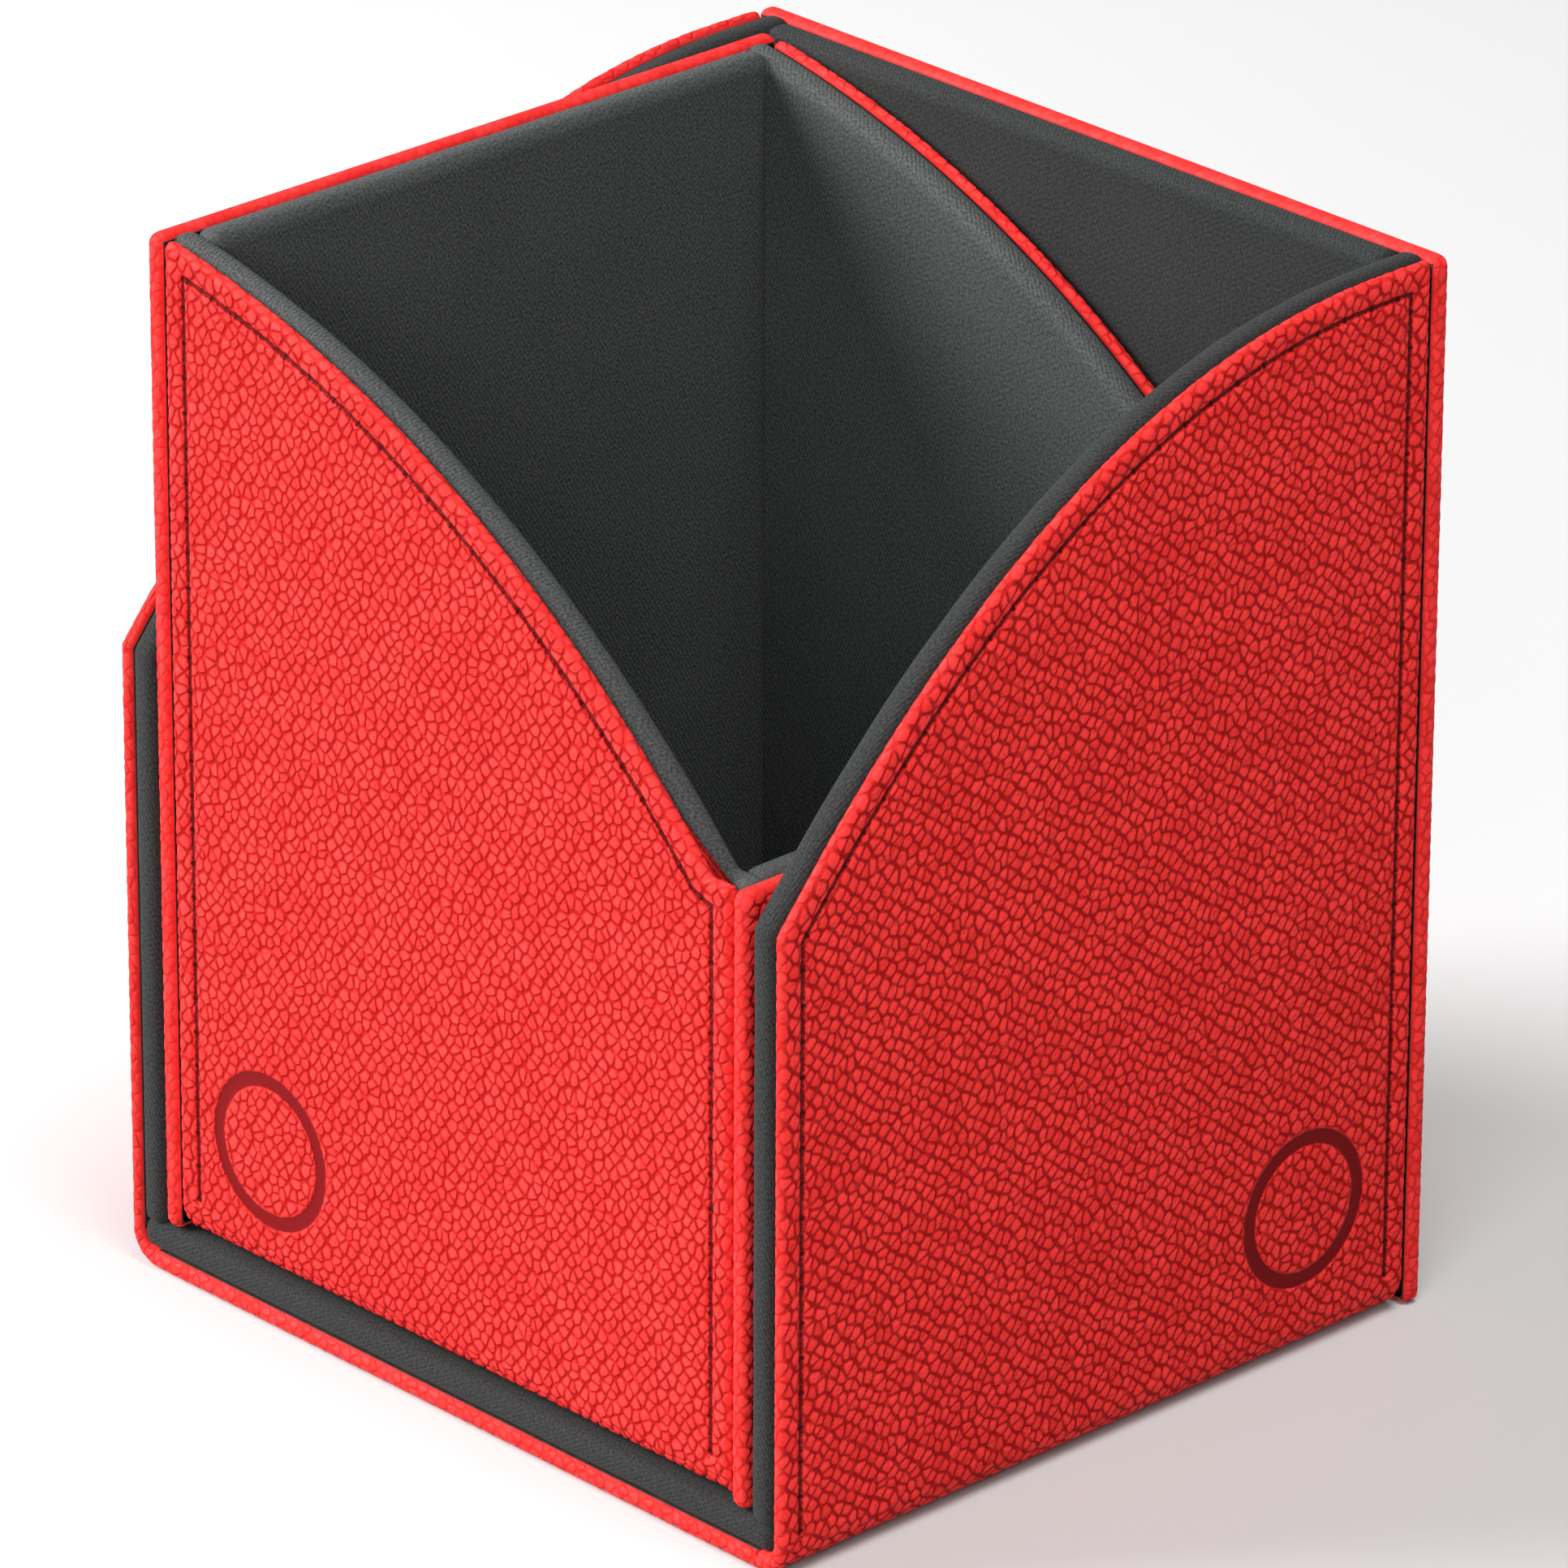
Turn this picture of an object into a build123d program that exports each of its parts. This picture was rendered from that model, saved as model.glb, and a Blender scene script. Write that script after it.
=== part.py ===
from build123d import *
import os
from dataclasses import dataclass

# Card deck box: an open tray for standing cards, nested in its own lid.
# +Z is up and the origin is the bottom centre of the whole box, in millimetres.
# The lid is open at -Y and has its high wall at +Y. The tray stands in it, turned
# a quarter turn: high wall at -X, low wall at +X, one curved side flush with the
# lid's open rim.

# Room inside the tray, set by a deck of double-sleeved cards standing on edge.
WELL_LENGTH = 70.5  # along the deck, from high wall to low wall
WELL_WIDTH = 69.2  # across the deck
WELL_DEPTH = 96.8

# Layers of a wall, from the outside in.
LEATHER = 0.6
SIDE_BOARD = 0.85
END_BOARD = 1.3
BASE_BOARD = 1.45
PADDING = 2.5
LINING = 0.8

TRAY_CLEARANCE = 0.3  # between tray and lid, on each side
FOLD_RADIUS = 3.5  # outside of the leather where a side turns under the base
PANEL_CORNER = 1.2  # outline corners of the wrapped end panels
SEAM_GAP = 0.45  # groove between a leather side and an end panel

TRAY_LOW_HEIGHT = 62.0  # top of the tray's low wall, from the tray's underside
TRAY_CURVE_START = 2.0  # where the side's curve leaves the top, from the high wall's face
TRAY_CURVE_TURN = 44.0  # the curve's control point, from the same face
TRAY_TURN_DROP = 6.6  # and below the top
LID_LOW_HEIGHT = 64.6
LID_CURVE_START = 8.0
LID_CURVE_TURN = 49.4
LID_TURN_DROP = 0.0

STITCH_INSET = 2.6  # seam line, from the panel's edge
STITCH_PITCH = 3.5
STITCH_LENGTH = 2.6
STITCH_WIDTH = 0.7
STITCH_HEIGHT = 0.3
STITCH_GROOVE_WIDTH = 1.1
STITCH_GROOVE_DEPTH = 0.35

RING_OUTER = 8.0  # radii of the smooth ring pressed into the leather
RING_INNER = 6.5
RING_DEPTH = 0.2
MAGNET_RADIUS = 6.3
MAGNET_THICKNESS = 1.5
MAGNET_CLEARANCE = 0.1
TRAY_RING_FROM_END = 15.4  # ring centre, from the high wall's face
TRAY_RING_HEIGHT = 13.3  # and from the underside
LID_RING_FROM_END = 16.4
LID_RING_HEIGHT = 15.35

SIDE_SKIN = LEATHER + SIDE_BOARD
BASE_SKIN = LEATHER + BASE_BOARD
END_PANEL = LEATHER + END_BOARD
SIDE_WALL = SIDE_SKIN + PADDING + LINING
END_WALL = END_PANEL + PADDING + LINING
FLOOR = BASE_SKIN + PADDING + LINING


@dataclass
class Case:
    """One padded case: base, two curved sides at +-X, a high wall at +Y."""

    name: str
    sides: tuple  # names of its sides at -X and +X
    width: float  # outside, across the two curved sides
    length: float  # outside, from the high wall to the front
    height: float
    low_height: float
    curve_start: float
    curve_turn: float
    turn_drop: float
    curve_end: float  # where the curve reaches the low height, from the high wall's face
    has_low_wall: bool
    ring_from_end: float
    ring_height: float

    @property
    def front(self):
        """Front end of the padding's room."""
        return -self.length / 2 + (END_PANEL if self.has_low_wall else 0)

    @property
    def rear(self):
        return self.length / 2 - END_PANEL

    @property
    def skin_front(self):
        """Front edge of the leather sides."""
        return self.front + (SEAM_GAP if self.has_low_wall else 0)

    @property
    def skin_rear(self):
        return self.rear - SEAM_GAP


tray_length = WELL_LENGTH + 2 * END_WALL
tray = Case(
    name="tray",
    sides=("front", "rear"),
    width=WELL_WIDTH + 2 * SIDE_WALL,
    length=tray_length,
    height=WELL_DEPTH + FLOOR,
    low_height=TRAY_LOW_HEIGHT,
    curve_start=TRAY_CURVE_START,
    curve_turn=TRAY_CURVE_TURN,
    turn_drop=TRAY_TURN_DROP,
    curve_end=tray_length - END_WALL,
    has_low_wall=True,
    ring_from_end=TRAY_RING_FROM_END,
    ring_height=TRAY_RING_HEIGHT,
)
lid_length = tray.width + TRAY_CLEARANCE + END_WALL
lid = Case(
    name="lid",
    sides=("left", "right"),
    width=tray.length + 2 * TRAY_CLEARANCE + 2 * SIDE_WALL,
    length=lid_length,
    height=tray.height + FLOOR,
    low_height=LID_LOW_HEIGHT,
    curve_start=LID_CURVE_START,
    curve_turn=LID_CURVE_TURN,
    turn_drop=LID_TURN_DROP,
    curve_end=lid_length,
    has_low_wall=False,
    ring_from_end=LID_RING_FROM_END,
    ring_height=LID_RING_HEIGHT,
)


def block(x, y, z):
    """Box between pairs of limits along each axis."""
    size = Box(x[1] - x[0], y[1] - y[0], z[1] - z[0], align=(Align.MIN,) * 3)
    return Pos(x[0], y[0], z[0]) * size


def side_face(case, y, bottom, inset=0.0):
    """Outline of a curved side on the YZ plane, its top lowered by inset."""
    top = case.length / 2
    reach = case.length + 2 * inset + 2
    start = (top - case.curve_start, case.height)
    turn = (top - case.curve_turn, case.height - case.turn_drop)
    end = (top - case.curve_end, case.low_height)
    outline = [
        Line((reach, case.height), start),
        Bezier(start, turn, end),
        Polyline(end, (-reach, case.low_height), (-reach, -reach), (reach, -reach)),
        Line((reach, -reach), (reach, case.height)),
    ]
    under_curve = Pos(inset / 2, -inset) * make_face(Curve() + outline)
    window = Pos((y[0] + y[1]) / 2, (bottom + case.height) / 2)
    window *= Rectangle(y[1] - y[0], case.height - bottom)
    return Plane.YZ * (under_curve & window)


def side_plate(case, x, y, bottom, inset=0.0):
    """Flat plate with the curved side's outline, between two places along X."""
    return extrude(Pos(X=x[0]) * side_face(case, y, bottom, inset), x[1] - x[0])


def trough(case, wall_x, floor_z, inset):
    """U of side, base and side around the case's inside, inset from the outer face."""
    half = case.width / 2 - inset
    radius = FOLD_RADIUS - inset
    ends = (-case.length, case.length)
    outer = block((-half, half), ends, (inset, 2 * case.height))
    folds = outer.edges().filter_by(Axis.Y).group_by(Axis.Z)[0]
    inner = block((-wall_x, wall_x), ends, (floor_z, 3 * case.height))
    y = (case.skin_front + inset, case.skin_rear - inset)
    return (fillet(folds, radius) - inner) & side_plate(case, (-half, half), y, inset, inset)


def stitch_line(case):
    """Edges of the seam on the face at +X: up the front, over the curve, down the rear."""
    y = (case.skin_front + STITCH_INSET, case.skin_rear - STITCH_INSET)
    seam = Pos(X=case.width / 2) * side_face(case, y, FOLD_RADIUS, STITCH_INSET)
    return [edge for edge in seam.edges() if edge.center().Z > FOLD_RADIUS + STITCH_WIDTH]


def stitch_groove(case):
    """Channel that the thread is pulled down into."""
    x = (case.width / 2 - STITCH_GROOVE_DEPTH, case.width / 2 + 1)
    near = STITCH_INSET - STITCH_GROOVE_WIDTH / 2
    far = STITCH_INSET + STITCH_GROOVE_WIDTH / 2
    outer_y = (case.skin_front + near, case.skin_rear - near)
    inner_y = (case.skin_front + far, case.skin_rear - far)
    outer = side_plate(case, x, outer_y, FOLD_RADIUS, near)
    return outer - side_plate(case, x, inner_y, 0, far)


def stitches(case):
    """Separate thread stitches, lying in the groove of the side at +X."""
    thread = extrude(SlotOverall(STITCH_LENGTH, STITCH_WIDTH), STITCH_HEIGHT)
    placed = []
    for edge in stitch_line(case):
        count = round(edge.length / STITCH_PITCH)
        for index in range(count):
            along = (index + 0.5) / count
            seat = edge.position_at(along) - Vector(STITCH_GROOVE_DEPTH, 0, 0)
            place = Plane(origin=seat, x_dir=edge.tangent_at(along), z_dir=(1, 0, 0))
            placed.append(place * thread)
    return placed


def ring_place(case):
    """Centre of the pressed ring on the face at +X, looking outwards."""
    centre = (case.width / 2, case.length / 2 - case.ring_from_end, case.ring_height)
    return Plane(origin=centre, x_dir=(0, 1, 0), z_dir=(1, 0, 0))


def magnet_disc(case, clearance=0.0):
    """Disc let into board and padding, its outer face against the leather."""
    disc = extrude(Circle(MAGNET_RADIUS + clearance), -MAGNET_THICKNESS)
    return ring_place(case) * Pos(Z=-LEATHER) * disc


def pressed_ring(case):
    """Shallow ring pressed into the leather over the magnet."""
    ring = Circle(RING_OUTER) - Circle(RING_INNER)
    return ring_place(case) * extrude(ring, amount=-RING_DEPTH)


def both_sides(shape):
    return shape + mirror(shape, Plane.YZ)


def side_wrap(case):
    """One piece of leather over side, base and side, its edges turned in."""
    wall_x = case.width / 2 - SIDE_SKIN
    wrap = trough(case, wall_x, BASE_SKIN, 0) - trough(case, wall_x, BASE_SKIN, LEATHER)
    return wrap - both_sides(stitch_groove(case)) - both_sides(pressed_ring(case))


def side_board(case):
    """Greyboard of the side at +X, with a hole for its magnet."""
    outer = case.width / 2 - LEATHER
    y = (case.skin_front + LEATHER, case.skin_rear - LEATHER)
    board = side_plate(case, (outer - SIDE_BOARD, outer), y, FOLD_RADIUS, LEATHER)
    return board - magnet_disc(case, MAGNET_CLEARANCE)


def side_padding(case):
    """Foam of the side at +X, short of its rims by the thickness of the lining."""
    outer = case.width / 2 - SIDE_SKIN
    y = (case.front + (0 if case.has_low_wall else LINING), case.rear)
    bottom = BASE_SKIN + PADDING
    foam = side_plate(case, (outer - PADDING, outer), y, bottom, LINING)
    return foam - magnet_disc(case, MAGNET_CLEARANCE)


def side_lining(case):
    """Fabric over the inner face and the rims of the foam at +X."""
    outer = case.width / 2 - SIDE_SKIN
    bottom = BASE_SKIN + PADDING
    x = (outer - PADDING - LINING, outer)
    y = (case.front + (0 if case.has_low_wall else LINING), case.rear)
    foam = side_plate(case, (outer - PADDING, outer), y, bottom, LINING)
    return side_plate(case, x, (case.front, case.rear), bottom) - foam


def base_board(case):
    half = case.width / 2 - FOLD_RADIUS
    y = (case.skin_front + LEATHER, case.skin_rear - LEATHER)
    return block((-half, half), y, (LEATHER, BASE_SKIN))


def base_padding(case):
    half = case.width / 2 - SIDE_SKIN
    y = (case.front + (0 if case.has_low_wall else LINING), case.rear)
    return block((-half, half), y, (BASE_SKIN, BASE_SKIN + PADDING))


def base_lining(case):
    """Fabric over the base foam, turned down over its edge at an open front."""
    half = case.width / 2 - SIDE_WALL
    lining = block((-half, half), (case.front, case.rear), (BASE_SKIN + PADDING, FLOOR))
    if case.has_low_wall:
        return lining
    half = case.width / 2 - SIDE_SKIN
    y = (case.front, case.front + LINING)
    return lining + block((-half, half), y, (BASE_SKIN, BASE_SKIN + PADDING))


def end_board(case, height):
    """Greyboard of the wall at +Y, of a given height."""
    half = case.width / 2 - LEATHER
    y = (case.rear, case.rear + END_BOARD)
    return block((-half, half), y, (LEATHER, height - LEATHER))


def end_cover(case, height):
    """Leather over the outer face and all four edges of an end board."""
    panel = block((-case.width / 2, case.width / 2), (case.rear, case.length / 2), (0, height))
    rounded = fillet(panel.edges().filter_by(Axis.Y), PANEL_CORNER)
    return rounded - end_board(case, height)


def end_padding(case, height):
    half = case.width / 2 - SIDE_WALL
    y = (case.rear - PADDING, case.rear)
    return block((-half, half), y, (FLOOR, height - LINING))


def end_lining(case, height):
    """Fabric over the inner face and the top of the end foam."""
    half = case.width / 2 - SIDE_WALL
    y = (case.length / 2 - END_WALL, case.rear)
    return block((-half, half), y, (FLOOR, height)) - end_padding(case, height)


def end_pieces(case, wall, height, turn):
    """The four layers of an end wall, turned to the end where it stands."""
    return {
        f"{case.name}_{wall}_cover": turn * end_cover(case, height),
        f"{case.name}_{wall}_board": turn * end_board(case, height),
        f"{case.name}_{wall}_padding": turn * end_padding(case, height),
        f"{case.name}_{wall}_lining": turn * end_lining(case, height),
    }


def case_pieces(case):
    """Every piece of one case, by node name, in the case's own frame; a group is a list."""
    name = case.name
    pieces = {
        f"{name}_side_wrap": side_wrap(case),
        f"{name}_base_board": base_board(case),
        f"{name}_base_padding": base_padding(case),
        f"{name}_base_lining": base_lining(case),
    }
    layers = {"board": side_board(case), "padding": side_padding(case), "lining": side_lining(case)}
    thread = stitches(case)
    for side, at_plus_x in zip(case.sides, (False, True)):
        for layer, shape in layers.items():
            pieces[f"{name}_{side}_{layer}"] = shape if at_plus_x else mirror(shape, Plane.YZ)
        seam = thread if at_plus_x else [mirror(stitch, Plane.YZ) for stitch in thread]
        pieces[f"{name}_{side}_stitches"] = seam
    magnet = magnet_disc(case)
    pieces[f"{name}_magnets"] = [magnet, mirror(magnet, Plane.YZ)]
    pieces.update(end_pieces(case, "high_wall", case.height, Rot(Z=0)))
    if case.has_low_wall:
        pieces.update(end_pieces(case, "low_wall", case.low_height, Rot(Z=180)))
    return pieces


def main():
    os.makedirs("parts", exist_ok=True)
    tray_place = Pos(0, (tray.width - lid.length) / 2, FLOOR) * Rot(Z=90)
    for case, place in ((lid, Pos(0, 0, 0)), (tray, tray_place)):
        for node, piece in case_pieces(case).items():
            group = piece if isinstance(piece, list) else [piece]
            solids = [solid.moved(place) for shape in group for solid in shape.solids()]
            export_step(Compound(solids), f"parts/{node}.step")


main()
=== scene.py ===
import math
import bmesh
import bpy
import numpy as np
from mathutils import Matrix, Vector


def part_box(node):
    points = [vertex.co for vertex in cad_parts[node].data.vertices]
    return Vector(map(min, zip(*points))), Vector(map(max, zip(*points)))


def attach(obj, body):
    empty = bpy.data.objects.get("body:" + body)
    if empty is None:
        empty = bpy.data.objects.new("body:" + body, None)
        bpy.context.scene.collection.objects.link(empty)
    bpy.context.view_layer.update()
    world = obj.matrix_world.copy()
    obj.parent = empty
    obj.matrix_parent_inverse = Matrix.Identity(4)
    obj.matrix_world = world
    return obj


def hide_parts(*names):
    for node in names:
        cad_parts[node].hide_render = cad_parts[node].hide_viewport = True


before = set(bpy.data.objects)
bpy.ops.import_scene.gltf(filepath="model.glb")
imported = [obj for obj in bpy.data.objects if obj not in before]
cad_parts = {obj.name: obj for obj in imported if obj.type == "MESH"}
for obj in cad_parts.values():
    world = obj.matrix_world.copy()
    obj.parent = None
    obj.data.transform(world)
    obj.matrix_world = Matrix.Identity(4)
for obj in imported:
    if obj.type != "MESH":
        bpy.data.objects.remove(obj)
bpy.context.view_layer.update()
MM = 0.001


# ---------------------------------------------------------------------------
# Lid leather: one piece of pebble-grained synthetic leather goes over the left
# side, the base and the right side. It is glued to greyboards and turned in
# round their edges, which leaves a soft round rim.
# ---------------------------------------------------------------------------

SIDE_SKIN = 1.45  # leather and board of a curved side together, in millimetres
BASE_SKIN = 2.05
FOLD_RADIUS = 3.5
HIGH_WALL_TO_SIDE = 2.35  # from the high wall's face to the side's edge
SEAM_INSET = 2.6
STITCH_PITCH = 3.5
RING_RADII = (6.5, 8.0)
RING_DEPTH = 0.24
SEAM_DEPTH = 0.3
SEAM_WIDTH = 0.34  # of the channel that the thread is pulled into
HOLE_RADII = (0.2, 0.42)  # needle holes: painted shade, fully dark out to the first radius and gone by the second
PILLOW_HEIGHT = 0.12  # swelling of the turned-in border between seam and edge
EDGE_DROP = 0.1
SIDE_MESH = (0.225, 0.33)  # gaps between mesh lines near the edges and elsewhere
BASE_MESH = (0.3, 0.5)
PEBBLE_TILT = math.radians(38)
PEBBLE_SIZE = (1.13, 1.31)  # across and along the tilt
BORDER_SCALE = 0.1  # pebbles outside the seam are this share larger
ROUNDED_CORNERS = (0.38, 0.33)  # from this far out from a pebble's middle, and how strongly
EDGE_TO_MM = 1.25  # mean stretch of a pebble, which brings its edge distance back to size
GROOVE_WIDTH = 0.1
RED_DEEP, RED_BRIGHT = (0.70, 0.025, 0.023, 1), (0.82, 0.038, 0.035, 1)
# Painted shade: a darker red on the pebbles' shoulders and a darker one still in the grooves.
RED_SHOULDER_SHADE, RED_GROOVE_SHADE = (0.42, 0.008, 0.009, 1), (0.31, 0.005, 0.005, 1)
# The second colour is painted shade, near black, in the needle holes and along the seam channel.
RED_RING, RED_HOLE_AND_SEAM_SHADE = (0.15, 0.003, 0.004, 1), (0.045, 0.0015, 0.002, 1)
FAR = 9.0  # stands for "nowhere near" in the distances kept on the leather


def round_rim(radius, steps=10):
    """Half round from the face to the back: how far out, how deep, and the run along it."""
    turn = np.linspace(0, math.pi * 0.95, steps + 1)
    return np.stack([radius * np.sin(turn), radius * (1 - np.cos(turn)), radius * turn], 1)


def spread(start, end, gaps, margin=4.2):
    """Places from start to end, closer together near both ends."""
    place = np.linspace(start, end, 4001)
    near = np.minimum(place - start, end - place) < margin
    lines = np.cumsum((end - start) / 4000 / np.where(near, gaps[0], gaps[1]))
    return np.interp(np.linspace(lines[0], lines[-1], round(lines[-1]) + 1), lines, place)


def folded_sheet(across, up, top, rim, rims=(True, True), growth=None):
    """A flat panel whose edges turn round to its back, closed behind.

    across are places along the panel, up are shares of its height below the curve
    top, which gives a height and an outward direction at each place. Returns the
    place, height and depth of each point, its place on the unrolled sheet, how far
    it is round the rim, and the faces.
    """
    out, deep, run = rim.T
    steps = len(rim) - 1
    ramp = np.arange(1, steps + 1) / steps
    none = np.zeros(0)
    lower, upper = (ramp if has_rim else none for has_rim in rims)
    column_rim = np.concatenate([-ramp[::-1], np.zeros(len(across)), ramp])[None, :]
    row_rim = np.concatenate([-lower[::-1], np.zeros(len(up)), upper])[:, None]
    column = np.concatenate([[across[0]] * steps, across, [across[-1]] * steps])
    row = np.concatenate([[up[0]] * len(lower), up, [up[-1]] * len(upper)])[:, None]
    bottom, height, edge_x, edge_y = top(column)
    flat_y = bottom + row * (height - bottom)
    size = np.ones_like(flat_y) if growth is None else growth(flat_y)
    middle, half = (across[0] + across[-1]) / 2, (across[-1] - across[0]) / 2
    flat_x = middle + (column - middle) * (1 - rim[:, 0].max() * (size - 1) / half)
    upward = row_rim > 0
    way_x = column_rim + np.abs(row_rim) * np.where(upward, edge_x, 0)
    way_y = np.abs(row_rim) * np.where(upward, edge_y, -1)
    long = np.maximum(np.hypot(way_x, way_y), 1e-9)
    way_x, way_y = way_x / long, way_y / long
    turned = np.maximum(np.abs(column_rim), np.abs(row_rim))
    step = turned * steps
    reach = np.interp(step, np.arange(steps + 1), out) * size
    depth = np.interp(step, np.arange(steps + 1), deep) * size
    skin = np.interp(step, np.arange(steps + 1), run) * size
    x, y = flat_x + way_x * reach, flat_y + way_y * reach
    skin_x, skin_y = flat_x + way_x * skin, flat_y + way_y * skin

    rows, columns = x.shape
    index = np.arange(rows * columns).reshape(rows, columns)
    quads = np.stack([index[:-1, :-1], index[:-1, 1:], index[1:, 1:], index[1:, :-1]], -1)
    faces = quads.reshape(-1, 4).tolist()
    stops = np.linspace(steps, columns - 1 - steps, 9).round().astype(int)[1:-1]
    first, last = len(lower), rows - 1 - len(upper)
    behind = np.arange((last - first + 1) * len(stops)).reshape(-1, len(stops)) + rows * columns
    inner = (slice(first, last + 1), stops)
    back = np.concatenate([index[first:last + 1, :1], behind, index[first:last + 1, -1:]], 1)
    quads = np.stack([back[:-1, :-1], back[1:, :-1], back[1:, 1:], back[:-1, 1:]], -1)
    faces += quads.reshape(-1, 4).tolist()
    ends = [0, *stops.tolist(), columns - 1]
    for edge, rest, has_rim in ((0, first, rims[0]), (rows - 1, last, rims[1])):
        line = back[rest - first]
        if not has_rim:
            faces.append(index[edge].tolist() + line[1:-1][::-1].tolist())
            continue
        for block, (a, b) in enumerate(zip(ends[:-1], ends[1:])):
            corner_a = index[rest:edge:1 if edge > rest else -1, 0][1:].tolist() if a == 0 else []
            corner_b = index[rest:edge:1 if edge > rest else -1, -1][1:].tolist()
            corner_b = corner_b[::-1] if b == columns - 1 else []
            ring = index[edge, a:b + 1].tolist()
            faces.append([int(line[block])] + corner_a + ring + corner_b + [int(line[block + 1])])

    def joined(front, rear):
        return np.concatenate([front.ravel(), np.broadcast_to(rear, behind.shape).ravel()])

    return {
        "x": joined(x, flat_x[inner]),
        "y": joined(y, flat_y[inner]),
        "depth": joined(depth, deep[-1] * size[inner]),
        "skin": np.stack([joined(skin_x, 0), joined(skin_y, 0)], 1),
        "turned": joined(turned, 1),
        "faces": faces,
    }


def curved_top(start, turn, end, height, low, drop):
    """Points along a side's top: level, one long curve, and level again at the low end."""
    t = np.linspace(0, 1, 90)[:, None]
    points = [np.array(p) for p in ((start, height), (turn, height - drop), (end, low))]
    curve = (1 - t) ** 2 * points[0] + 2 * t * (1 - t) * points[1] + t ** 2 * points[2]
    level = np.array([(-9.0, height), (start - 0.5, height)])
    return np.concatenate([level, curve, [(end + 0.02, low), (end + 9.0, low)]])


def inset_top(top_line, inset):
    """The top moved inwards, as a function that gives its height and outward direction."""
    way = np.gradient(top_line, axis=0)
    way /= np.hypot(*way.T)[:, None]
    outward = np.stack([-way[:, 1], way[:, 0]], 1)
    moved = top_line - inset * outward
    place = np.maximum.accumulate(moved[:, 0] + np.arange(len(moved)) * 1e-7)

    def at(x):
        return tuple(np.interp(x, place, values) for values in (moved[:, 1], *outward.T))

    return at


def along_line(points, line):
    """Each point's distance from a line of points, and how far along it that is."""
    best, along, start = np.full(len(points), 1e9), np.zeros(len(points)), 0.0
    for a, b in zip(line[:-1], line[1:]):
        step = b - a
        length = math.hypot(*step)
        share = np.clip((points - a) @ step / length ** 2, 0, 1)
        gap = np.hypot(*(points - a - share[:, None] * step).T)
        nearer = gap < best
        best[nearer], along[nearer] = gap[nearer], (start + share * length)[nearer]
        start += length
    return best, along


def soft_step(low, high, value):
    """0 at low, 1 at high, smooth between. low may be the larger."""
    t = np.clip((value - low) / (high - low), 0, 1)
    return t * t * (3 - 2 * t)


def softer_round_edge(turned):
    """How strong the grain is: stretched smoother where the leather turns round an edge."""
    return (0.4 + 0.6 * soft_step(0.3, 0.0, turned)) * soft_step(1.0, 0.7, turned)


def seam_path(side):
    """The sewn line on an unrolled side: up one edge, along the top, down the other."""
    at = inset_top(side["top"], SEAM_INSET)
    fold = FOLD_RADIUS * math.pi / 2 - FOLD_RADIUS
    place = np.linspace(side["ends"][0] + SEAM_INSET, side["ends"][1] - SEAM_INSET, 90)
    upper = np.stack([place, at(place)[0] + fold], 1)
    foot = fold + FOLD_RADIUS + 1.0
    return np.concatenate([[(place[0], foot)], upper, [(place[-1], foot)]])


def seam_pitch(side):
    """The pitch that fits a whole number of stitches on a side's seam, and that number."""
    length = float(np.hypot(*np.diff(seam_path(side), axis=0).T).sum())
    count = round(length / STITCH_PITCH)
    return length / count, count


def as_object(name, points, faces, attributes):
    """A closed smooth mesh with its faces outwards and its points' own vectors."""
    mesh = bpy.data.meshes.new(name)
    mesh.from_pydata((points * MM).tolist(), [], faces)
    for label, values in attributes.items():
        made = mesh.attributes.new(label, "FLOAT_VECTOR", "POINT")
        made.data.foreach_set("vector", values.astype(np.float32).ravel())
    work = bmesh.new()
    work.from_mesh(mesh)
    bmesh.ops.recalc_face_normals(work, faces=work.faces)
    work.to_mesh(mesh)
    work.free()
    mesh.shade_smooth()
    piece = bpy.data.objects.new(name, mesh)
    bpy.context.scene.collection.objects.link(piece)
    return piece


class Recipe:
    """Adds nodes to one material or geometry tree and joins them up."""

    def __init__(self, tree):
        self.tree = tree

    def node(self, kind, inputs=None, **settings):
        made = self.tree.nodes.new(kind)
        for key, value in settings.items():
            setattr(made, key, value)
        for key, value in (inputs or {}).items():
            if isinstance(value, bpy.types.NodeSocket):
                self.tree.links.new(value, made.inputs[key])
            else:
                made.inputs[key].default_value = value
        return made

    def maths(self, operation, a, b=0.0, c=0.0):
        return self.node("ShaderNodeMath", {0: a, 1: b, 2: c}, operation=operation).outputs[0]

    def vector(self, operation, a, b):
        kind = "ShaderNodeVectorMath"
        return self.node(kind, {0: a, 1: b}, operation=operation).outputs[0]

    def ramp(self, value, low, high, start=0.0, end=1.0):
        """A soft step from start to end while value goes from low to high."""
        inputs = {"Value": value, 1: low, 2: high, 3: start, 4: end}
        step = self.node("ShaderNodeMapRange", inputs, interpolation_type="SMOOTHSTEP")
        return step.outputs[0]

    def blend(self, share, a, b):
        mix = self.node("ShaderNodeMix", {0: share, 6: a, 7: b}, data_type="RGBA")
        return mix.outputs[2]

    def noise(self, vector, scale, detail=2.0):
        inputs = {"Vector": vector, "Scale": scale, "Detail": detail}
        return self.node("ShaderNodeTexNoise", inputs)


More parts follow.
